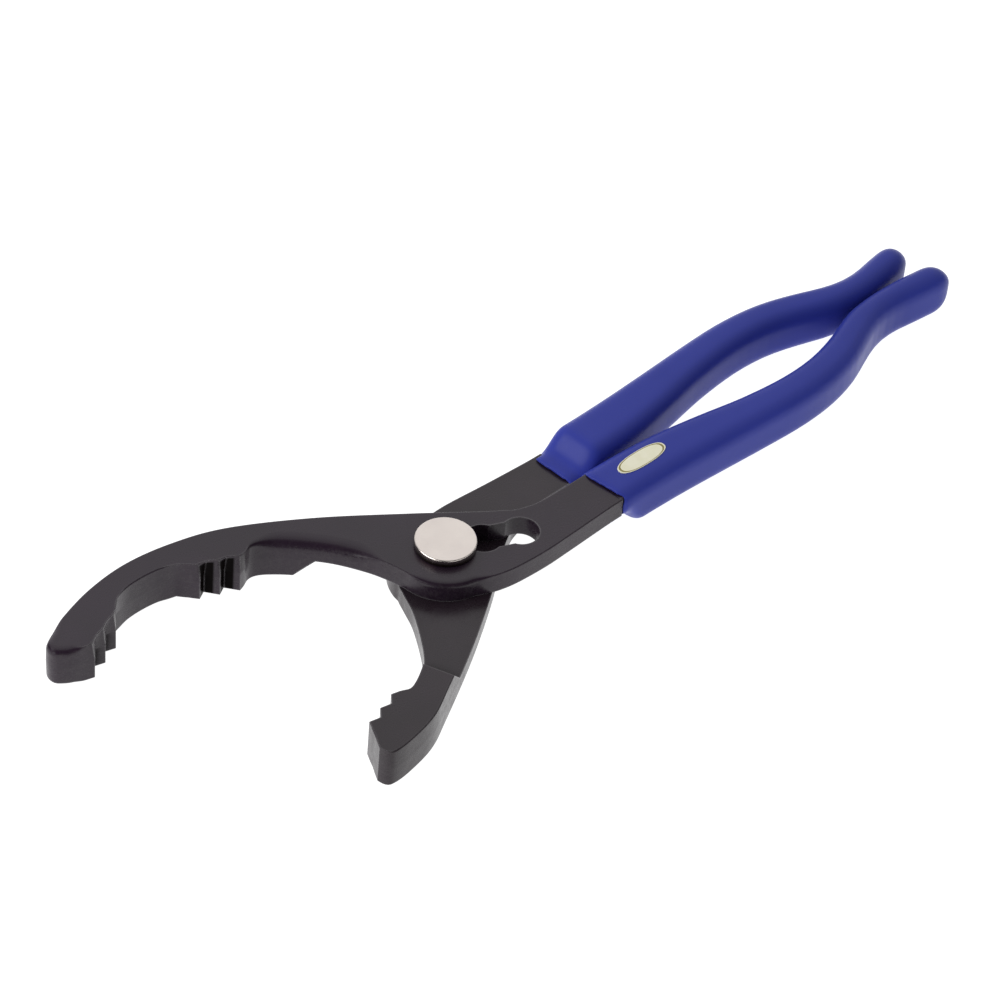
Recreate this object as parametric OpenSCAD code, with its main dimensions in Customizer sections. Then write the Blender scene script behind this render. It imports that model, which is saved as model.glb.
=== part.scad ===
// Oil filter pliers: two drop-forged levers that cross on a slip-joint bolt.
// X runs along the handles, from the jaws to the grips. Y runs to the lower lever's grip.
// The origin is on the bolt's axis, on the plane the tool lies on. +Z is up.

/* [View] */
// Which piece to draw

/* [Levers] */
// Full thickness of a lever at its jaw and its handle
lever_t = 12.7; // [10:0.1:16]
// Radius of the upper lever's eye
upper_eye_r = 15; // [13:0.5:18]
// Radius of the lower lever's eye
lower_eye_r = 15.5; // [14:0.5:19]
// Where the upper grip starts to step out to the full thickness
upper_ramp_x = 51.5; // [50:0.5:60]
// Where the lower grip starts to step out
lower_ramp_x = 53; // [50:0.5:60]
// Length of that step along the lever
ramp_run = 5.5; // [3:0.5:10]
// Air between the two laps
lap_gap = 0.1; // [0.05:0.05:0.3]

/* [Slip joint] */
// Distance from one lobe of the slot to the next
slot_pitch = 10.8; // [9:0.1:13]
// Direction of the slot from the handles' line
slot_angle = -24; // [-40:0.1:0]
// Radius of a lobe
lobe_r = 5.2; // [4.5:0.05:6.5]
// Width of the slot between two lobes
waist_w = 8.4; // [7:0.1:10]
// Number of lobes
lobes = 3; // [2:1:5]

/* [Bolt and nut] */
// Diameter of the bolt's round head
head_d = 17; // [14:0.1:22]
// Height of the head
head_h = 2.7; // [1.5:0.1:4]
// Radius of the shank
shank_r = 5.1; // [4.5:0.05:6.5]
// Distance between the shank's two flats
shank_flats = 8.2; // [7:0.1:10]
// Radius of the threaded end
thread_r = 4; // [3:0.5:5]
// Width of the nut across its flats
nut_flats = 13; // [11:0.5:17]
// Height of the nut
nut_h = 3.9; // [3:0.1:5]

/* [Grips] */
// Thickness of the dipped vinyl
grip_wall = 1.4; // [1:0.1:2.5]
// Where the grips start
grip_x = 47.5; // [44:0.5:49]
// Where the upper lever's grip ends
upper_grip_end = 193.6; // [180:0.1:200]
// Where the lower lever's grip ends
lower_grip_end = 190.1; // [180:0.1:200]
// How far the upper grip's front edge slants back towards its outer side
grip_slant = 2.6; // [0:0.1:5]
// How far the lower grip's front edge slants forward towards its outer side
lower_grip_slant = 1.3; // [0:0.1:3]
// Corner radius of the grips' section
grip_r = 4.4; // [3:0.1:5]

/* [Label] */
// Length of the oval label
label_l = 17.4; // [12:0.1:22]
// Width of the label
label_w = 5.6; // [4:0.1:7]

/* [Hidden] */
$fn = 72;

z_low = grip_wall;              // underside of the levers
z_high = z_low + lever_t;       // top of the levers
z_mid = (z_low + z_high) / 2;   // where the laps meet
z_grip = z_high + grip_wall;    // top of the grips
mirror_y = -1.8;                // the line the two handles are mirrored about
upper_tail_shift = 0.5;         // how far the upper lever's tail leans off that line, and the lower
lower_tail_shift = 1.4;         // lever's, both towards the lower lever's side
seat_z = nut_h + 0.1;           // roof of the nut's seat
seat_r = nut_flats / sqrt(3) + 0.5;

// Jaw teeth: the first tip, the step to the next tip, and the root behind each tip
teeth_n = 3;
heel_tip = [-45.2, 31.4];
heel_step = [-5.2, 2.2];
heel_root = [-2.7, 3.6];
toe_tip = [-84.4, 36];
toe_step = [-5.45, -2.35];
toe_root = [-2.9, 0.8];
lower_tip = [-47.9, -31.1];
lower_step = [-5.4, -1.8];
lower_root = [-2.1, -2.5];

// A grip's edges: place along X, then the inner and the outer edge's distance from mirror_y
grip_edges = [
    [46, 0.6, 17.2], [60, 0.8, 17], [75, 1.8, 17.4], [90, 4, 18.2], [105, 6.7, 19.1],
    [120, 8.2, 19.7], [132, 7.8, 19], [142, 5.8, 17], [150, 3.2, 14.2], [156, 1.3, 11.7],
    [163, 0.4, 9.6], [170, 0.3, 9], [177, 0.6, 9.8], [184, 1.3, 10.6], [194, 2.3, 11.5],
];

// ---- curves ----

function lerp(a, b, t) = a + (b - a) * t;
function at_spline(a, b, c, d, t) =
    ((2 * b) + (c - a) * t + (2 * a - 5 * b + 4 * c - d) * t * t + (3 * b - a - 3 * c + d) * t * t * t) / 2;
// A smooth curve through every point of p, with n steps between neighbours
function smooth(p, n = 5) = concat(
    [for (i = [0 : len(p) - 2], k = [0 : n - 1])
        at_spline(p[max(i - 1, 0)], p[i], p[i + 1], p[min(i + 2, len(p) - 1)], k / n)],
    [p[len(p) - 1]]);
function reversed(p) = [for (i = [len(p) - 1 : -1 : 0]) p[i]];
function teeth(tip, step, root) = [for (i = [0 : teeth_n - 1], k = [0, 1])
    if (k == 0 || i < teeth_n - 1) tip + i * step + k * root];
function arc(r, a0, a1, n = 12) = [for (i = [0 : n]) r * [cos(lerp(a0, a1, i / n)), sin(lerp(a0, a1, i / n))]];

// The grip's two edges at x
grip_curve = smooth(grip_edges, 6);
function edges_at(x) = [lookup(x, [for (e = grip_curve) [e[0], e[1]]]),
                        lookup(x, [for (e = grip_curve) [e[0], e[2]]])];

// The line between the handles at x, for a lever whose tail leans by shift
function mid_y(x, shift) = mirror_y + shift * min(max((x - 145) / 35, 0), 1);

// ---- lever outlines ----

upper_back = [[-103.2, 34.1], [-105.1, 35.8], [-105.5, 38.3], [-103.9, 40.7], [-97.5, 43.8],
              [-84.5, 47.9], [-70.5, 49.5], [-55.5, 47.6], [-40.5, 42.7], [-20.3, 31], [0.1, 16.4],
              [16.1, 4.3], [20.9, 0.9], [25, -1.8], [31, -3.4], [38, -3.7], [44, -3.7], [50, -3.6]];
upper_near = [[50, -17.9], [44, -18], [30, -18.6], [20, -18.9], [10, -18.4], [4, -17.3], [-0.5, -15.7]];
upper_inside = [[-15.6, 1.5], [-16.6, 5], [-18.9, 10.5], [-23.8, 18.7], [-30.3, 26.2], [-35.3, 30.7],
                [-38.5, 32.7], [-41, 33], [-43, 32.2]];
upper_bow = [[-59.8, 40.6], [-65.4, 41.9], [-71, 42.3], [-76.2, 41.9], [-80.6, 40.8]];

lower_near = [[-62.8, -43.2], [-62.2, -45.4], [-60.4, -46.8], [-54.5, -46.5], [-44.5, -44.2], [-34.6, -39.1],
              [-15.2, -28], [2.4, -16.6], [15.7, -6.9], [20.7, -3.7], [25, -1.3], [31, 0.1], [38, 0.4],
              [44, 0.5], [50, 0.5]];
lower_far = [[50, 14.4], [44, 14.5], [30, 15.2], [16, 16.1], [8, 16], [1, 16.5]];
lower_inside = [[-15.8, 0.5], [-17.4, -3.8], [-19.8, -9.6], [-25.4, -18.9], [-30.5, -25.3], [-36.3, -29.7],
                [-41.7, -32.4], [-44.3, -32]];

module upper_head_2d() {
    polygon(concat(
        smooth(upper_back),
        smooth(upper_near),
        arc(upper_eye_r, -100, -176),
        smooth(upper_inside),
        teeth(heel_tip, heel_step, heel_root),
        smooth(upper_bow),
        teeth(toe_tip, toe_step, toe_root)));
}

module lower_head_2d() {
    polygon(concat(
        smooth(lower_near),
        smooth(lower_far),
        arc(lower_eye_r, 94, 176),
        smooth(lower_inside),
        teeth(lower_tip, lower_step, lower_root)));
}

// The part of the upper lever that the vinyl covers, on the mirror line's near side
module handle_2d(grip_end, shift) {
    core_end = grip_end - 9;
    xs = concat([for (x = [49 : 4 : core_end - 6]) x], [core_end - 5]);
    inner = [for (x = xs) [x, mid_y(x, shift) - edges_at(x)[0] - grip_wall]];
    outer = [for (x = xs) [x, mid_y(x, shift) - edges_at(x)[1] + grip_wall]];
    tail = [[core_end - 1.8, inner[len(xs) - 1][1] - 0.9], [core_end, inner[len(xs) - 1][1] - 3],
            [core_end - 1, outer[len(xs) - 1][1] + 0.9]];
    polygon(concat(inner, tail, reversed(outer)));
}

// ---- levers in the round ----

// Everything on the joint's side of a sloping shoulder. The shoulder crosses the lap at u = 0 and
// leans away from the joint as it leaves it.
module beside_shoulder(run) {
    rotate([90, 0, 0]) translate([0, 0, -150])
        linear_extrude(300) polygon([[0, 0], [300, 0], [300, 20], [-run * 20 / (lever_t / 2), 20]]);
}

// The half of the thickness that a lever gives up around the joint, above the lap
module lap_cut(shoulder, angle, ramp_x) {
    intersection() {
        translate(shoulder) rotate(angle) beside_shoulder(ramp_run);
        translate([ramp_x, 0, 0]) rotate(180) beside_shoulder(ramp_run);
    }
}

module upper_blank() {
    difference() {
        translate([0, 0, z_low]) linear_extrude(lever_t) {
            upper_head_2d();
            handle_2d(upper_grip_end, upper_tail_shift);
        }
        translate([0, 0, z_mid + lap_gap / 2]) mirror([0, 0, 1])
            lap_cut([-26.5, 22.6], -22.6, upper_ramp_x + grip_slant);
    }
}

module lower_blank() {
    difference() {
        translate([0, 0, z_low]) linear_extrude(lever_t) {
            lower_head_2d();
            translate([0, 2 * mirror_y]) mirror([0, 1]) handle_2d(lower_grip_end, -lower_tail_shift);
        }
        translate([0, 0, z_mid - lap_gap / 2]) lap_cut([-29.8, -24.8], 22.6, lower_ramp_x);
    }
}

module slot() {
    rotate(slot_angle) {
        for (i = [0 : lobes - 1]) translate([i * slot_pitch, 0, 0]) cylinder(h = 40, r = lobe_r);
        translate([0, -waist_w / 2, 0]) cube([(lobes - 1) * slot_pitch, waist_w, 40]);
    }
}

module upper_lever() {
    color([0.22, 0.21, 0.23]) difference() {
        upper_blank();
        slot();
    }
}

module lower_lever() {
    color([0.27, 0.26, 0.28]) difference() {
        lower_blank();
        translate([0, 0, -1]) cylinder(h = 20, r = shank_r + 0.05);
        translate([0, 0, -1]) cylinder(h = seat_z + 1, r = seat_r);
    }
}

// ---- grips ----

// One ring of the grip's skin at x: a rectangle with rounded corners. slant carries its outer side
// further along than its inner side.
function ring(x, z0, z1, inset, slant, shift) =
    let (e = edges_at(x), r = max(grip_r - inset, 0.4), m = mid_y(x, shift),
         y0 = m - e[1] + inset + r, y1 = m - e[0] - inset - r,
         ym = (y0 + y1) / 2, ya = min(y0, ym), yb = max(y1, ym),
         za = z0 + inset + r, zb = z1 - inset - r,
         mid = [[yb, zb], [ya, zb], [ya, za], [yb, za]])
    [for (q = [0 : 3], k = [0 : 5])
        let (y = mid[q][0] + r * cos(q * 90 + k * 18))
        [x + slant * (y1 + r - y) / (e[1] - e[0]), y, mid[q][1] + r * sin(q * 90 + k * 18)]];

// Distance from the far face's level to the grip's stepped face, a soft S over the lever's ramp
function step_z(x, ramp_x) = let (t = min(max((x - ramp_x + 2) / (ramp_run + 2), 0), 1))
    lerp(z_mid - grip_wall, 0, t * t * (3 - 2 * t));

// How far the slant of a grip's front edge still reaches at x
function slant_at(x, slant) = slant * max(0, 1 - (x - grip_x) / 40);

// Where each ring of a grip stands, how far it is drawn in at the front lip and the tail, and how
// much further it is drawn in from above and below, so that the tail is round from every side
function grip_rings(grip_end, ramp_x) = let (tail = 7, lip = 0.7) concat(
    [for (a = [0, 45, 90]) [grip_x + lip * (1 - cos(a)), lip * (1 - sin(a)), 0]],
    [for (k = [0 : 10]) [ramp_x - 2 + k * (ramp_run + 2) / 10, 0, 0]],
    [for (x = [61 : 4 : 181]) [x, 0, 0]],
    [for (a = [0 : 15 : 90]) let (inset = (grip_r - 0.2) * (1 - cos(a)))
        [grip_end - tail * (1 - sin(a)), inset, 0.65 * inset]]);

module skin(rings) {
    n = len(rings[0]);
    m = len(rings);
    polyhedron(
        points = [for (r = rings, p = r) p],
        faces = concat(
            [[for (k = [0 : n - 1]) k]],
            [[for (k = [n - 1 : -1 : 0]) (m - 1) * n + k]],
            [for (i = [0 : m - 2], k = [0 : n - 1], h = [0, 1])
                let (a = i * n + k, b = i * n + (k + 1) % n)
                h == 0 ? [a, a + n, b] : [b, a + n, b + n]]));
}

module upper_grip() {
    color([0.2, 0.25, 0.6]) difference() {
        skin([for (g = grip_rings(upper_grip_end, upper_ramp_x))
            ring(g[0], step_z(g[0], upper_ramp_x) + g[2], z_grip - g[2], g[1],
                 slant_at(g[0], grip_slant), upper_tail_shift)]);
        upper_blank();
    }
}

module lower_grip() {
    color([0.22, 0.28, 0.66]) difference() {
        translate([0, 2 * mirror_y, 0]) mirror([0, 1, 0])
            skin([for (g = grip_rings(lower_grip_end, lower_ramp_x))
                ring(g[0], g[2], z_grip - step_z(g[0], lower_ramp_x) - g[2], g[1],
                     slant_at(g[0], -lower_grip_slant), -lower_tail_shift)]);
        lower_blank();
    }
}

// ---- joint ----

module pivot_bolt() {
    color([0.86, 0.84, 0.82]) {
        translate([0, 0, z_high + 0.1]) rotate_extrude() polygon([
            [0, 0], [head_d / 2, 0], [head_d / 2, head_h * 0.75], [head_d / 2 - 0.3, head_h * 0.87],
            [head_d / 4, head_h * 0.97], [0, head_h]]);
        intersection() {
            translate([0, 0, z_mid]) cylinder(h = z_high - z_mid + 0.2, r = shank_r);
            rotate(slot_angle) translate([-10, -shank_flats / 2, 0]) cube([20, shank_flats, 30]);
        }
        translate([0, 0, seat_z]) cylinder(h = z_mid - seat_z, r = shank_r);
        cylinder(h = seat_z + 0.5, r = thread_r);
    }
}

module nut() {
    color([0.8, 0.79, 0.78]) difference() {
        rotate(slot_angle) cylinder(h = nut_h, r = nut_flats / sqrt(3), $fn = 6);
        translate([0, 0, -1]) cylinder(h = 10, r = thread_r + 0.05);
    }
}

module label() {
    power = 2 / 2.4; // a little squarer than an ellipse
    color([0.93, 0.89, 0.74]) translate([64.2, -10.3, z_grip]) linear_extrude(0.2)
        polygon([for (a = [0 : 7.5 : 352.5]) [
            label_l / 2 * sign(cos(a)) * pow(abs(cos(a)), power),
            label_w / 2 * sign(sin(a)) * pow(abs(sin(a)), power)]]);
}

upper_lever();
lower_lever();
upper_grip();
lower_grip();
pivot_bolt();
nut();
label();
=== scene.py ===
"""Looks of the oil filter wrench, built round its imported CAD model. Lengths are in metres."""

import math

import bmesh
import bpy
import numpy as np
from mathutils import Matrix, Vector


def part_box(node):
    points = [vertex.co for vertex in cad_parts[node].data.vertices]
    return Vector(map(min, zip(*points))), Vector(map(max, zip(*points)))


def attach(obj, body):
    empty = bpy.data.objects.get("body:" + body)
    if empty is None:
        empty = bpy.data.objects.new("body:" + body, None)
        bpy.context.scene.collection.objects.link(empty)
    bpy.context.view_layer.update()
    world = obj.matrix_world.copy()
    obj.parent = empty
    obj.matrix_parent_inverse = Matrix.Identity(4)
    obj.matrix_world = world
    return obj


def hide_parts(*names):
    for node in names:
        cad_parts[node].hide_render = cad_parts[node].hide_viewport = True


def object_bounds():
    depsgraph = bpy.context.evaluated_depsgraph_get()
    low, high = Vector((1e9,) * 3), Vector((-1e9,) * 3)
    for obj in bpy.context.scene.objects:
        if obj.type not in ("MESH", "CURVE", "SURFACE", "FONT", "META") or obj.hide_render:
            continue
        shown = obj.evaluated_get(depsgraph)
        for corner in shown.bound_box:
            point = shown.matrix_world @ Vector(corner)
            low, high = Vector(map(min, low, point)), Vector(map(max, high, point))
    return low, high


MM = 0.001

# ---- the frame and the heights taken from it ----

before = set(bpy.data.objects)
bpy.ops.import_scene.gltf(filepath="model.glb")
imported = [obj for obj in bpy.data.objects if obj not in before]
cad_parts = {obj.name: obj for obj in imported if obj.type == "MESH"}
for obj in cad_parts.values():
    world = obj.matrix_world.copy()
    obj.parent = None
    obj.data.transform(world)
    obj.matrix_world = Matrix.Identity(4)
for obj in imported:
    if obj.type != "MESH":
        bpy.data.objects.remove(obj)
cad_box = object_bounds()

LEVER_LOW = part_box("upper_lever")[0].z
LEVER_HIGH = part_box("upper_lever")[1].z
LEVER_MID = (LEVER_LOW + LEVER_HIGH) / 2
HEAD_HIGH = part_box("pivot_bolt")[1].z
HEAD_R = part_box("pivot_bolt")[1].y
NUT_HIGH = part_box("nut")[1].z

# ---- reading the CAD outlines ----

FLAT_TOLERANCE = 0.02 * MM
MERGE_TOLERANCE = 0.001 * MM
OUTLINE_STEP = 0.8 * MM
CORNER_DEG = 26           # a sharper turn stays a corner
MITRE_LIMIT = 0.6         # the cosine down to which a corner's offset still grows

# ---- the levers' forged section ----

FACE_INSET = 0.12 * MM    # how far the draft has drawn the wall in where the edge begins
EDGE_R = 0.5 * MM         # radius between wall and face
EDGE_ROWS = 8
PARTING_INSET = 0.01 * MM    # how far the parting line stays inside the CAD outline
PARTING_HALF = 0.4 * MM      # half the height of the band along the parting line
# Softer stretches of edge: a point beside the stretch, its reach, the upper and the lower radius
UPPER_SOFT = ((Vector((-108, 38)) * MM, 14 * MM, 2.2 * MM, 1.2 * MM),
              (Vector((-36, 14)) * MM, 21 * MM, 4 * MM, EDGE_R),
              (Vector((-16, -20)) * MM, 19 * MM, 1.8 * MM, EDGE_R))
LOWER_SOFT = ((Vector((-64, -47)) * MM, 6 * MM, 1.2 * MM, 1.2 * MM),)
SOFT_FADE = 6 * MM        # over which a softer stretch fades in
TEETH_X = -40 * MM        # the corners beyond this count as teeth
MACHINED_REACH = 2 * MM   # the machined wall round a tooth's corner
MACHINED_FADE = 4 * MM    # over which it goes back to the forged wall
HEEL_X = -80 * MM         # the teeth nearest the joint lie between this and TEETH_X
ROOT_DEG = -60            # a sharper inner turn is a groove between teeth
TOOTH_EDGE = 0.15 * MM    # what is left of the radius on the machined teeth
TOOTH_FADE = 1.8 * MM     # how far below its face the upper jaw's teeth fade into the forging
RELAX_PASSES = 14
ARRIS = 0.28 * MM         # radius on the edges that the cuts leave

# ---- the joint ----

# Each lever's lap: a point on its shoulder, the shoulder's angle, and where the lap ends in x
UPPER_LAP = ((-26.5 * MM, 22.6 * MM), math.radians(-22.6), 54.1 * MM)
LOWER_LAP = ((-29.8 * MM, -24.8 * MM), math.radians(22.6), 53 * MM)
LAP_GAP = 0.1 * MM
RAMP_RUN = 5.5 * MM       # how far a shoulder leans over half the thickness
LAP_DEPTH = 20 * MM       # a lap's tool goes through the face and past both sides
LAP_SIDE = 60 * MM
CUT_LOW = -10 * MM        # ends of the tools that cut right through
CUT_HIGH = 30 * MM
SLOT_ANGLE = math.radians(-24)
SLOT_PITCH = 10.8 * MM
LOBES = 3
LOBE_R = 5.2 * MM
LOBE_POINTS = 19
WAIST_W = 8.4 * MM
SEAT_R = 8 * MM
SEAT_GAP = 0.1 * MM       # under the bolt's head and above the nut
SHANK_R = 5.1 * MM
SHANK_FLATS = 8.2 * MM
SHANK_REACH = 9 * MM      # half the length of the block that cuts the flats
BORE_GAP = 0.05 * MM
HEAD_RIM = 0.45 * MM
HEAD_CROWN = 0.2 * MM
HEAD_CHAMFER = 0.25 * MM
RIM_TURN = 74             # degrees of the rim's arc
THREAD_R = 4 * MM
THREAD_PITCH = 1.25 * MM
THREAD_CHAMFER = 0.5 * MM
NUT_FLATS = 13 * MM
NUT_CHAMFER = 0.7 * MM

# ---- skins and label ----

GRIP_VOXEL = 0.45 * MM
GRIP_PASSES = 22
OVAL_POWER = 2.4          # the label is a superellipse

# ---- stage ----

# The photograph's view: from the jaws' side, about 44 degrees above the floor, slightly rolled
CAMERA_PLACE = Vector((-0.5432, -0.525, 0.7572))
CAMERA_TARGET = Vector((0.0343, 0.0135, 0))
CAMERA_ROLL = math.radians(5.3)
CAMERA_LENS = 141.9       # millimetres, on a sensor 36 mm wide
FLOOR_HALF = 4
FLOOR_GAP = 0.02 * MM
BRIGHT_SIDE = (0.45, 0.5, 0.74)


# ---- outlines ----

def flat_outline(node, z):
    """The longest closed outline of a CAD node's flat faces at height z, counterclockwise, N x 2."""
    bm = bmesh.new()
    bm.from_mesh(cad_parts[node].data)
    bmesh.ops.remove_doubles(bm, verts=bm.verts, dist=MERGE_TOLERANCE)
    level = {f for f in bm.faces if all(abs(v.co.z - z) < FLAT_TOLERANCE for v in f.verts)}
    following = {}
    for face in level:
        for loop in face.loops:
            if sum(f in level for f in loop.edge.link_faces) == 1:
                following[loop.vert] = loop.link_loop_next.vert
    outlines = []
    while following:
        vert, points = next(iter(following)), []
        while vert in following:
            points.append(vert.co.xy.copy())
            vert = following.pop(vert)
        outlines.append(np.array(points))
    bm.free()
    longest = max(outlines, key=lambda p: np.linalg.norm(np.roll(p, -1, 0) - p, axis=1).sum())
    return longest if signed_area(longest) > 0 else longest[::-1]


def signed_area(p):
    q = np.roll(p, -1, 0)
    return 0.5 * float((p[:, 0] * q[:, 1] - q[:, 0] * p[:, 1]).sum())


def turning(p):
    """The angle in degrees through which a closed outline turns at each point."""
    a, b = p - np.roll(p, 1, 0), np.roll(p, -1, 0) - p
    return np.degrees(np.arctan2(a[:, 0] * b[:, 1] - a[:, 1] * b[:, 0], (a * b).sum(1)))


def spline_run(p, step):
    """Even steps along a smooth curve through the points of one run between corners."""
    if len(p) == 2:
        n = max(1, int(round(np.linalg.norm(p[1] - p[0]) / step)))
        return p[0] + (p[1] - p[0]) * (np.arange(n) / n)[:, None]
    s = np.concatenate([[0], np.cumsum(np.linalg.norm(np.diff(p, axis=0), axis=1))])
    slope = np.gradient(p, s, axis=0)
    t = np.linspace(0, s[-1], max(2, int(round(s[-1] / step)) + 1))[:-1]
    i = np.clip(np.searchsorted(s, t, side="right") - 1, 0, len(p) - 2)
    h = (s[i + 1] - s[i])[:, None]
    u = (t - s[i])[:, None] / h
    return ((2 * u**3 - 3 * u**2 + 1) * p[i] + (u**3 - 2 * u**2 + u) * h * slope[i]
            + (3 * u**2 - 2 * u**3) * p[i + 1] + (u**3 - u**2) * h * slope[i + 1])


def resampled(p):
    """The outline with even steps along its curves and its corners kept; also the corner points."""
    corners = np.flatnonzero(np.abs(turning(p)) > CORNER_DEG)
    p = np.roll(p, -corners[0], 0)
    corners = list(corners - corners[0]) + [len(p)]
    closed = np.vstack([p, p[:1]])
    runs = [spline_run(closed[a:b + 1], OUTLINE_STEP) for a, b in zip(corners, corners[1:])]
    return np.vstack(runs), closed[corners[:-1]]


def outward(p):
    """Offset direction at each point of a counterclockwise outline, longer at corners."""
    edge = np.roll(p, -1, 0) - p
    normal = np.stack([edge[:, 1], -edge[:, 0]], 1) / np.linalg.norm(edge, axis=1)[:, None]
    both = normal + np.roll(normal, 1, 0)
    both /= np.linalg.norm(both, axis=1)[:, None]
    return both / np.clip((both * normal).sum(1), MITRE_LIMIT, 1)[:, None]


def relaxed(p):
    """A closed outline with its points drawn towards their neighbours."""
    for _ in range(RELAX_PASSES):
        p = 0.5 * p + 0.25 * (np.roll(p, 1, 0) + np.roll(p, -1, 0))
    return p


def smoothstep(t):
    t = np.clip(t, 0, 1)
    return t * t * (3 - 2 * t)


# ---- mesh tools ----

def new_object(name, verts, faces):
    mesh = bpy.data.meshes.new(name)
    mesh.from_pydata([tuple(v) for v in verts], [], faces)
    mesh.update()
    obj = bpy.data.objects.new(name, mesh)
    bpy.context.scene.collection.objects.link(obj)
    return obj


def tube_faces(rings, n):
    """Quads between rings of n points, and a face at each end."""
    sides = [(i * n + k, i * n + (k + 1) % n, (i + 1) * n + (k + 1) % n, (i + 1) * n + k)
             for i in range(rings - 1) for k in range(n)]
    return sides + [tuple(range(n))[::-1], tuple(range((rings - 1) * n, rings * n))]


def prism(name, outline, z0, z1):
    rings = [[(x, y, z) for x, y in outline] for z in (z0, z1)]
    return new_object(name, rings[0] + rings[1], tube_faces(2, len(outline)))


def revolve(name, profile, n=96):
    """A solid turned about Z from (radius, height) pairs, lowest first."""
    verts = [(r * math.cos(2 * math.pi * k / n), r * math.sin(2 * math.pi * k / n), z)
             for r, z in profile for k in range(n)]
    return new_object(name, verts, tube_faces(len(profile), n))


def rod(name, radius, z0, z1):
    return revolve(name, [(radius, z0), (radius, z1)])


def arc(cx, cz, r, a0, a1, n):
    """Points of an arc in a profile, angles in degrees."""
    angles = [math.radians(a0 + (a1 - a0) * i / n) for i in range(n + 1)]
    return [(cx + r * math.cos(a), cz + r * math.sin(a)) for a in angles]


def bake_modifiers(obj):
    """Replaces the mesh by what its modifiers make of it."""
    evaluated = obj.evaluated_get(bpy.context.evaluated_depsgraph_get())
    mesh = bpy.data.meshes.new_from_object(evaluated)
    obj.modifiers.clear()
    obj.data = mesh


def boolean(obj, tool, operation="DIFFERENCE"):
    modifier = obj.modifiers.new(operation, "BOOLEAN")
    modifier.operation = operation
    modifier.solver = "MANIFOLD"
    modifier.object = tool
    bake_modifiers(obj)
    bpy.data.objects.remove(tool)


def round_edges(obj, width, angle=35, segments=3):
    """Small radii on edges sharper than angle, with the flat faces kept flat in shading."""
    bevel = obj.modifiers.new("edges", "BEVEL")
    bevel.width = width
    bevel.segments = segments
    bevel.limit_method = "ANGLE"
    bevel.angle_limit = math.radians(angle)
    bake_modifiers(obj)
    obj.data.shade_smooth()
    weighted = obj.modifiers.new("normals", "WEIGHTED_NORMAL")
    weighted.weight = 80


def paint(obj, material):
    obj.data.materials.clear()
    obj.data.materials.append(material)


def finish_piece(obj, body, node, material):
    paint(obj, material)
    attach(obj, body)
    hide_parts(node)


# ---- levers ----

def section_rows(half, radius):
    """Half of the wall's section, from the parting line to the face. Each row: distance from the
    middle at each outline point, then how far a forged and a machined wall stand out there."""
    zero = np.zeros_like(radius)
    rows = [(zero, zero - PARTING_INSET, -PARTING_INSET),
            (zero + PARTING_HALF, zero - 0.3 * FACE_INSET, -PARTING_INSET)]
    for a in np.radians(np.linspace(0, 90, EDGE_ROWS)):
        rows.append((half - radius * (1 - math.sin(a)), -FACE_INSET - radius * (1 - math.cos(a)),
                     -TOOTH_EDGE * (1 - math.cos(a))))
    return rows + [(zero + half, -FACE_INSET - radius - 0.6 * EDGE_R, -3 * TOOTH_EDGE)]


def forged_blank(name, outline, soft_stretches, tooth_fade):
    """A lever's full-thickness forging: drafted walls that meet at a parting line, with rounded
    edges. Near the teeth the walls are machined upright and their edges stay crisp. The teeth fade
    out over the last tooth_fade below the upper face."""
    p, corners = resampled(outline)
    teeth = corners[corners[:, 0] < TEETH_X]
    reach = np.linalg.norm(p[:, None] - teeth[None], axis=2).min(1)
    forged = smoothstep((reach - MACHINED_REACH) / MACHINED_FADE)[:, None]
    up = np.full((len(p), 1), EDGE_R)
    down = up.copy()
    for beside, within, above, below in soft_stretches:
        near = smoothstep((within - np.linalg.norm(p - beside, axis=1)) / SOFT_FADE)[:, None]
        up = np.maximum(up, EDGE_R + (above - EDGE_R) * (forged * near))
        down = np.maximum(down, EDGE_R + (below - EDGE_R) * (forged * near))
    half = LEVER_HIGH - LEVER_MID
    soft = relaxed(p)
    verts = []
    for side, rows in ((-1, section_rows(half, down)[:0:-1]), (1, section_rows(half, up))):
        for height, forged_out, machined_out in rows:
            fade = 0 if side < 0 or not tooth_fade else smoothstep((height - half) / tooth_fade + 1.1)
            ring = p + (soft - p) * fade * (1 - forged)
            ring = ring + outward(ring) * (forged * forged_out + (1 - forged) * machined_out)
            verts += [(x, y, LEVER_MID + side * h) for (x, y), h in zip(ring, height[:, 0])]
    return new_object(name, verts, tube_faces(len(verts) // len(p), len(p)))


def lap_tool(shoulder, angle, ramp_x, towards):
    """What a lever gives up round the joint, from the lap to beyond its face. towards is +1 for a
    lever that gives up its upper half and -1 for one that gives up its lower half."""
    u = Vector((math.cos(angle), math.sin(angle)))
    v = Vector((-u.y, u.x))
    rings = []
    for depth in (0, LAP_DEPTH):
        lean = RAMP_RUN * depth / (LEVER_HIGH - LEVER_MID)
        near = Vector(shoulder) - u * lean
        z = LEVER_MID + towards * (depth - LAP_GAP / 2)
        corners = [near - v * LAP_SIDE, Vector((ramp_x + lean, -LAP_SIDE)),
                   Vector((ramp_x + lean, LAP_SIDE)), near + v * LAP_SIDE]
        rings.append([(c.x, c.y, z) for c in corners])
    if towards < 0:
        rings.reverse()
    return new_object("lap_tool", rings[0] + rings[1], tube_faces(2, 4))


def along_slot(points):
    """The points turned from the x axis to the slot's direction."""
    c, s = math.cos(SLOT_ANGLE), math.sin(SLOT_ANGLE)
    return [(c * x - s * y, s * x + c * y) for x, y in points]


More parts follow.
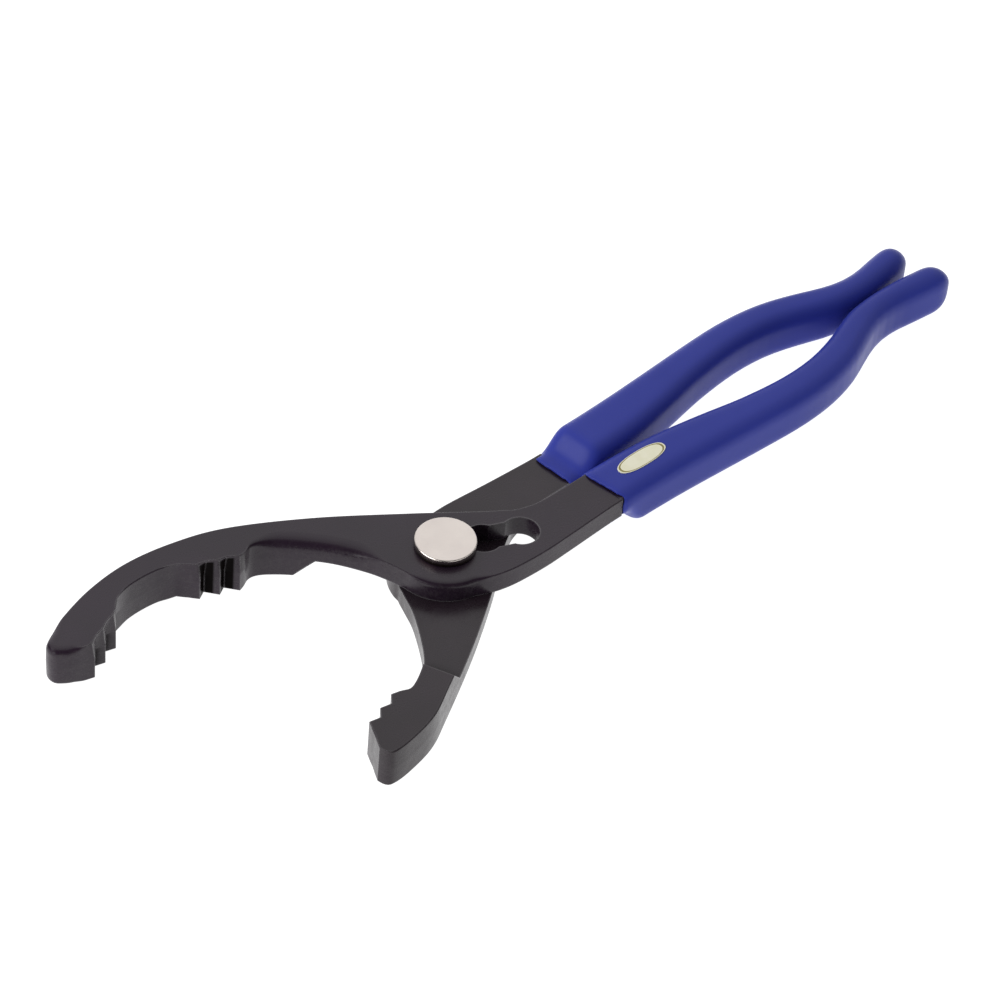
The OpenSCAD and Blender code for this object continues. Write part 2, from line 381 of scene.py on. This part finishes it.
def slot_outline():
    """The slot: a row of round lobes joined by narrower waists."""
    bite = math.asin(WAIST_W / 2 / LOBE_R)
    side = []
    for i in range(LOBES):
        a0 = math.pi if i == 0 else math.pi - bite
        a1 = 0 if i == LOBES - 1 else bite
        for t in np.linspace(a0, a1, LOBE_POINTS):
            side.append((i * SLOT_PITCH + LOBE_R * math.cos(t), LOBE_R * math.sin(t)))
    return along_slot(side[::-1] + [(x, -y) for x, y in side[1:-1]])


def upper_lever(outline, material):
    obj = forged_blank("upper_lever_forging", outline, UPPER_SOFT, TOOTH_FADE)
    boolean(obj, lap_tool(*UPPER_LAP, -1))
    boolean(obj, prism("slot_tool", slot_outline(), CUT_LOW, CUT_HIGH))
    round_edges(obj, ARRIS)
    finish_piece(obj, "upper", "upper_lever", material)


def lower_lever(outline, material):
    obj = forged_blank("lower_lever_forging", outline, LOWER_SOFT, 0)
    boolean(obj, lap_tool(*LOWER_LAP, 1))
    boolean(obj, rod("bore_tool", SHANK_R + BORE_GAP, CUT_LOW, CUT_HIGH))
    boolean(obj, rod("seat_tool", SEAT_R, CUT_LOW, NUT_HIGH + SEAT_GAP))
    round_edges(obj, ARRIS)
    finish_piece(obj, "lower", "lower_lever", material)


# ---- joint ----

def head_profile(base):
    """The bolt's head from its flat underside at base, past the rolled rim, to the low dome."""
    shoulder = HEAD_HIGH - HEAD_CROWN
    dome_r = (HEAD_R**2 + HEAD_CROWN**2) / (2 * HEAD_CROWN)
    profile = [(SHANK_R, base), (HEAD_R - HEAD_CHAMFER, base), (HEAD_R, base + HEAD_CHAMFER)]
    profile += arc(HEAD_R - HEAD_RIM, shoulder - HEAD_RIM, HEAD_RIM, 0, RIM_TURN, 8)
    inner = HEAD_R - HEAD_RIM * (1 - math.cos(math.radians(RIM_TURN)))
    return profile + [(r, shoulder + math.sqrt(dome_r**2 - r**2) - (dome_r - HEAD_CROWN))
                      for r in np.linspace(inner - 0.6 * MM, 0.3 * MM, 12)]


def thread_profile(top):
    """The thread's crests and roots, with a chamfered end."""
    crest, root = THREAD_R - 0.05 * MM, THREAD_R - 0.65 * MM
    profile = [(THREAD_R - 0.6 * MM, 0), (crest, THREAD_CHAMFER)]
    z = THREAD_CHAMFER
    while z + THREAD_PITCH < top:
        profile += [(root, z + THREAD_PITCH / 2), (crest, z + THREAD_PITCH)]
        z += THREAD_PITCH
    return profile + [(crest, top)]


def pivot_bolt(material):
    """Low domed head with a rolled rim, a shank with two flats, and a threaded end."""
    base = LEVER_HIGH + SEAT_GAP
    seat = NUT_HIGH + SEAT_GAP
    obj = revolve("pivot_bolt_head", head_profile(base))
    shank = rod("shank", SHANK_R, LEVER_MID, base + 0.2 * MM)
    flats = along_slot([(-SHANK_REACH, -SHANK_FLATS / 2), (SHANK_REACH, -SHANK_FLATS / 2),
                        (SHANK_REACH, SHANK_FLATS / 2), (-SHANK_REACH, SHANK_FLATS / 2)])
    boolean(shank, prism("flats", flats, 0, CUT_HIGH), "INTERSECT")
    boolean(obj, shank, "UNION")
    boolean(obj, rod("body", SHANK_R, seat, LEVER_MID + 0.1 * MM), "UNION")
    boolean(obj, revolve("thread", thread_profile(seat + 0.3 * MM)), "UNION")
    round_edges(obj, 0.12 * MM, 50, 2)
    finish_piece(obj, "bolt", "pivot_bolt", material)


def nut(material):
    """Hexagon nut with turned chamfers on both faces."""
    corner_r = NUT_FLATS / math.sqrt(3)
    turns = [SLOT_ANGLE + math.radians(60 * k) for k in range(6)]
    hexagon = [(corner_r * math.cos(a), corner_r * math.sin(a)) for a in turns]
    obj = prism("nut_hexagon", hexagon, 0, NUT_HIGH)
    face_r, wide = NUT_FLATS / 2 * 0.97, corner_r + 0.1 * MM
    turned = [(face_r, 0), (wide, NUT_CHAMFER), (wide, NUT_HIGH - NUT_CHAMFER), (face_r, NUT_HIGH)]
    boolean(obj, revolve("chamfers", turned), "INTERSECT")
    mouth_r, bore_r = THREAD_R + 0.6 * MM, THREAD_R + 0.03 * MM
    bore = [(mouth_r, -0.2 * MM), (bore_r, 0.5 * MM),
            (bore_r, NUT_HIGH - 0.5 * MM), (mouth_r, NUT_HIGH + 0.2 * MM)]
    boolean(obj, revolve("bore", bore))
    round_edges(obj, 0.15 * MM, 30, 2)
    finish_piece(obj, "nut", "nut", material)


# ---- grips: CAD nodes with softened skins ----

def soften(node, material):
    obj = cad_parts[node]
    paint(obj, material)
    remesh = obj.modifiers.new("even_skin", "REMESH")
    remesh.mode = "VOXEL"
    remesh.voxel_size = GRIP_VOXEL
    remesh.use_smooth_shade = True
    smooth = obj.modifiers.new("soft", "SMOOTH")
    smooth.factor = 0.5
    smooth.iterations = GRIP_PASSES


# ---- materials ----

class Nodes:
    """A short way to write a material's node tree."""

    def __init__(self, name):
        self.material = bpy.data.materials.new(name)
        self.material.use_nodes = True
        self.tree = self.material.node_tree
        self.shader = self.tree.nodes["Principled BSDF"]
        self.place = self.add("ShaderNodeTexCoord").outputs["Object"]

    def add(self, kind, inputs=None, **settings):
        node = self.tree.nodes.new(kind)
        for key, value in settings.items():
            setattr(node, key, value)
        for key, value in (inputs or {}).items():
            self.put(node.inputs[key], value)
        return node

    def put(self, socket, value):
        if isinstance(value, bpy.types.NodeSocket):
            self.tree.links.new(value, socket)
        else:
            socket.default_value = value

    def set(self, **inputs):
        for key, value in inputs.items():
            self.put(self.shader.inputs[key.replace("_", " ")], value)

    def noise(self, scale, detail, roughness=0.55, place=None):
        return self.add("ShaderNodeTexNoise", {"Vector": place or self.place, "Scale": scale,
                        "Detail": detail, "Roughness": roughness}).outputs["Fac"]

    def drift(self, scale, detail, low=0.0, high=1.0):
        """Noise that wanders from low to high."""
        return self.remap(self.noise(scale, detail), 0.3, 0.7, low, high)

    def pits(self, scale):
        """Distance to the nearest of scattered points, for small round pits."""
        voronoi = self.add("ShaderNodeTexVoronoi", {"Vector": self.place, "Scale": scale})
        return voronoi.outputs["Distance"]

    def remap(self, value, a, b, c, d):
        return self.add("ShaderNodeMapRange", {"Value": value, "From Min": a, "From Max": b,
                        "To Min": c, "To Max": d}).outputs["Result"]

    def math(self, operation, a, b=0.0):
        return self.add("ShaderNodeMath", {0: a, 1: b}, operation=operation).outputs[0]

    def times(self, a, b):
        return self.math("MULTIPLY", a, b)

    def rest(self, value):
        """What is left of 1 without the value."""
        return self.math("SUBTRACT", 1.0, value)

    def vector(self, operation, a, b):
        return self.add("ShaderNodeVectorMath", {0: a, 1: b}, operation=operation)

    def split(self, vector):
        """The x, y and z of a vector."""
        return self.add("ShaderNodeSeparateXYZ", {0: vector}).outputs

    def mix(self, fac, a, b):
        """Colour a at fac 0, b at fac 1. Inputs 6 and 7 and output 2 are the Mix node's colours."""
        node = self.add("ShaderNodeMix", {"Factor": fac}, data_type="RGBA")
        self.put(node.inputs[6], a)
        self.put(node.inputs[7], b)
        return node.outputs[2]

    def bump(self, height, depth, strength, over=None):
        inputs = {"Height": height, "Distance": depth, "Strength": strength}
        if over is not None:
            inputs["Normal"] = over
        return self.add("ShaderNodeBump", inputs).outputs["Normal"]

    def normal(self):
        return self.add("ShaderNodeNewGeometry").outputs["Normal"]

    def upright(self):
        """1 on side walls, 0 on the flat faces."""
        z = self.split(self.normal())[2]
        return self.remap(self.math("ABSOLUTE", z), 0.85, 0.5, 0.0, 1.0)

    def crevice(self, depth, own=True):
        """1 deep in a corner, 0 on open surface; own leaves the neighbouring pieces out."""
        node = self.add("ShaderNodeAmbientOcclusion", {"Distance": depth}, samples=8, only_local=own)
        return self.remap(node.outputs["AO"], 0.9, 0.72, 0.0, 1.0)

    def beside_lines(self, places, near, far):
        """1 within near of an upright line through any of the (x, y) places, 0 beyond far."""
        flat = self.vector("MULTIPLY", self.place, (1, 1, 0)).outputs[0]
        nearest = 1.0
        for x, y in places:
            away = self.vector("DISTANCE", flat, (x, y, 0)).outputs["Value"]
            nearest = self.math("MINIMUM", away, nearest)
        return self.remap(nearest, far, near, 0.0, 1.0)

    def below(self, height, fade):
        """1 more than fade below the height, 0 above it."""
        z = self.split(self.place)[2]
        return self.remap(z, height, height - fade, 0.0, 1.0)

    def edge_mask(self, radius, low, high):
        """1 on convex and concave edges, 0 on open surface."""
        rounded = self.add("ShaderNodeBevel", {"Radius": radius}, samples=6).outputs["Normal"]
        likeness = self.vector("DOT_PRODUCT", rounded, self.normal()).outputs["Value"]
        return self.remap(likeness, high, low, 0.0, 1.0)


def heel_roots(outline):
    """The grooves between the teeth nearest the joint: the outline's sharpest inner corners there."""
    x = outline[:, 0]
    sharp = outline[(turning(outline) < ROOT_DEG) & (x < TEETH_X) & (x > HEEL_X)]
    return [(float(p[0]), float(p[1])) for p in sharp]


def forged_black(name, tint, roots=()):
    """Gloss-satin black paint over a forging: mottled and pitted; lighter along the edges, both
    rubbed thin and a painted highlight; painted shade, near black, in its own corners and at the
    tooth roots given as (x, y)."""
    scaly, shade_black, rubbed_and_lit = (0.06, 0.052, 0.056, 1), (0.003, 0.002, 0.002, 1), (0.16, 0.15, 0.16, 1)
    n = Nodes(name)
    wall = n.upright()
    # Painted shade: near black in the lever's own corners, found by ambient occlusion, and on the
    # walls beside the heel tooth roots below the face.
    groove = n.times(n.beside_lines(roots, 2.3 * MM, 2.9 * MM),
                     n.below(LEVER_HIGH - 0.5 * MM, 0.5 * MM))
    deep = n.math("MAXIMUM", n.crevice(4 * MM), n.times(groove, wall))
    scale = n.remap(n.noise(700, 6, 0.7), 0.46, 0.62, 0.0, 0.22)
    # Lighter along the edges: paint rubbed thin, and a painted highlight where the edges catch the
    # light.
    wear_and_highlight = n.times(n.edge_mask(0.7 * MM, 0.9, 0.998), n.remap(n.noise(260, 4), 0.3, 0.6, 0.5, 0.9))
    base = n.mix(n.drift(45, 5), (*[0.8 * c for c in tint], 1), (*[1.2 * c for c in tint], 1))
    base = n.mix(n.times(scale, wall), base, scaly)
    base = n.mix(deep, base, shade_black)
    base = n.mix(wear_and_highlight, base, rubbed_and_lit)
    grain = n.remap(n.noise(1400, 3), 0.35, 0.65, 0.0, 1.0)
    rough = n.math("ADD", n.drift(320, 5, 0.2, 0.3), n.times(grain, 0.06))
    peel = n.bump(n.noise(900, 3), 0.02 * MM, 0.3)
    pits = n.bump(n.remap(n.pits(420), 0.0, 0.28, 0.0, 1.0), 0.03 * MM, 0.15, peel)
    hammered = n.bump(n.noise(340, 4, 0.6), 0.12 * MM, n.times(wall, 0.6), pits)
    swell = n.bump(n.noise(60, 2), 0.2 * MM, 0.25, hammered)
    n.set(Base_Color=base, Roughness=rough, Normal=swell)
    curved = n.times(wall, n.rest(wall))
    # The specular is cut down in the painted shade and on the curve between wall and face.
    spec_share = n.times(n.rest(n.times(deep, 0.95)), n.rest(n.times(curved, 3.6)))
    n.set(Specular_IOR_Level=n.times(n.remap(wall, 0.0, 1.0, 0.5, 0.3), spec_share))
    return n.material


def blue_vinyl():
    """Dipped vinyl: a smooth satin skin, slightly uneven as it dripped and cured."""
    n = Nodes("blue_vinyl")
    base = n.mix(n.drift(30, 3), (0.032, 0.046, 0.32, 1), (0.038, 0.053, 0.36, 1))
    scuff = n.remap(n.noise(900, 6, 0.7), 0.62, 0.75, 0.0, 0.1)
    base = n.mix(scuff, base, (0.08, 0.09, 0.32, 1))
    drip = n.bump(n.noise(38, 2), 0.5 * MM, 0.25)
    skin = n.bump(n.noise(1100, 3), 0.015 * MM, 0.35, drip)
    n.set(Base_Color=base, Roughness=n.drift(150, 4, 0.3, 0.38), Normal=skin)
    n.set(Specular_IOR_Level=n.remap(n.upright(), 0.0, 1.0, 0.17, 0.12))
    return n.material


def nickel_steel():
    """Nickel-plated steel with fine brush marks, light handling haze and painted shade in the
    corners.
    """
    n = Nodes("nickel_steel")
    stretched = n.add("ShaderNodeMapping", {"Vector": n.place, "Scale": (4000, 250, 250)}).outputs[0]
    brushed = n.noise(1.0, 3, 0.6, stretched)
    base = n.mix(n.drift(160, 4), (0.76, 0.69, 0.65, 1), (0.82, 0.75, 0.7, 1))
    # Painted shade: dark brown in corners and against the neighbouring pieces, found by ambient
    # occlusion.
    base = n.mix(n.crevice(2.5 * MM, own=False), base, (0.09, 0.06, 0.045, 1))
    marks = n.bump(brushed, 0.002 * MM, 0.15)
    dents = n.bump(n.noise(90, 1), 0.01 * MM, 0.15, marks)
    n.set(Base_Color=base, Roughness=n.remap(brushed, 0.3, 0.7, 0.16, 0.26), Normal=dents)
    n.set(Metallic=1.0)
    return n.material


def label_film():
    """Cream film sticker with a thin gold border, oval, lying on the upper grip."""
    low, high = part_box("label")
    half = (high - low) / 2
    n = Nodes("label_film")
    place = n.split(n.vector("SUBTRACT", n.place, (low + high) / 2).outputs[0])
    across = [n.math("POWER", n.math("ABSOLUTE", n.math("DIVIDE", place[i], half[i])), OVAL_POWER)
              for i in (0, 1)]
    reach = n.math("ADD", *across)
    line = n.times(n.math("GREATER_THAN", reach, 0.72), n.math("LESS_THAN", reach, 0.88))
    paper = n.mix(n.drift(300, 4), (0.93, 0.9, 0.66, 1), (1, 0.97, 0.77, 1))
    base = n.mix(line, paper, (0.3, 0.25, 0.07, 1))
    n.set(Base_Color=base, Roughness=n.drift(600, 3, 0.38, 0.5),
          Normal=n.bump(n.noise(900, 3), 0.01 * MM, 0.4))
    return n.material


# ---- stage ----

def camera():
    data = bpy.data.cameras.new("camera")
    data.sensor_width = 36
    data.lens = CAMERA_LENS
    data.clip_end = 20
    obj = bpy.data.objects.new("camera", data)
    turn = (CAMERA_TARGET - CAMERA_PLACE).to_track_quat("-Z", "Y").to_matrix().to_4x4()
    obj.matrix_world = Matrix.Translation(CAMERA_PLACE) @ turn @ Matrix.Rotation(CAMERA_ROLL, 4, "Z")
    bpy.context.scene.collection.objects.link(obj)
    bpy.context.scene.camera = obj


def floor():
    """A white light table under the tool."""
    n = Nodes("floor")
    n.set(Base_Color=n.mix(n.noise(3, 2), (0.3, 0.3, 0.3, 1), (0.32, 0.32, 0.32, 1)), Roughness=0.6)
    n.set(Emission_Color=(1, 1, 1, 1), Emission_Strength=1.0)
    corners = [(x * FLOOR_HALF, y * FLOOR_HALF, 0) for x, y in ((-1, -1), (1, -1), (1, 1), (-1, 1))]
    obj = new_object("floor", corners, [(0, 1, 2, 3)])
    obj.location.z = cad_box[0][2] - FLOOR_GAP
    obj.data.materials.append(n.material)


def room():
    """Plain surroundings that brighten towards BRIGHT_SIDE, above and behind the tool."""
    world = bpy.data.worlds.new("world")
    bpy.context.scene.world = world
    world.use_nodes = True
    tree = world.node_tree
    background = tree.nodes["Background"]
    place = tree.nodes.new("ShaderNodeTexCoord")
    dot = tree.nodes.new("ShaderNodeVectorMath")
    dot.operation = "DOT_PRODUCT"
    dot.inputs[1].default_value = BRIGHT_SIDE
    ramp = tree.nodes.new("ShaderNodeValToRGB")
    for element, position, grey in zip(ramp.color_ramp.elements, (0.1, 0.9), (0.13, 1.05)):
        element.position = position
        element.color = (grey, grey, grey, 1)
    tree.links.new(place.outputs["Generated"], dot.inputs[0])
    tree.links.new(dot.outputs["Value"], ramp.inputs[0])
    tree.links.new(ramp.outputs[0], background.inputs["Color"])
    background.inputs["Strength"].default_value = 0.85


def soft_box(name, place, target, size, power):
    data = bpy.data.lights.new(name, "AREA")
    data.shape = "RECTANGLE"
    data.size, data.size_y = size
    data.energy = power
    obj = bpy.data.objects.new(name, data)
    obj.location = place
    obj.rotation_euler = (Vector(target) - Vector(place)).to_track_quat("-Z", "Y").to_euler()
    bpy.context.scene.collection.objects.link(obj)


def build():
    upper_outline = flat_outline("upper_lever", LEVER_HIGH)
    lower_outline = flat_outline("lower_lever", LEVER_LOW)
    black = forged_black("forged_black_upper", (0.022, 0.013, 0.023), heel_roots(upper_outline))
    warm_black = forged_black("forged_black_lower", (0.022, 0.014, 0.02))
    vinyl, nickel = blue_vinyl(), nickel_steel()
    upper_lever(upper_outline, black)
    lower_lever(lower_outline, warm_black)
    pivot_bolt(nickel)
    nut(nickel)
    soften("upper_grip", vinyl)
    soften("lower_grip", vinyl)
    paint(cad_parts["label"], label_film())
    camera()
    floor()
    room()
    soft_box("left", place=(-1.2, 0.3, 0.6), target=(-0.02, 0, 0), size=(1.3, 0.5), power=11)
    bpy.context.scene.view_settings.view_transform = "Standard"


build()
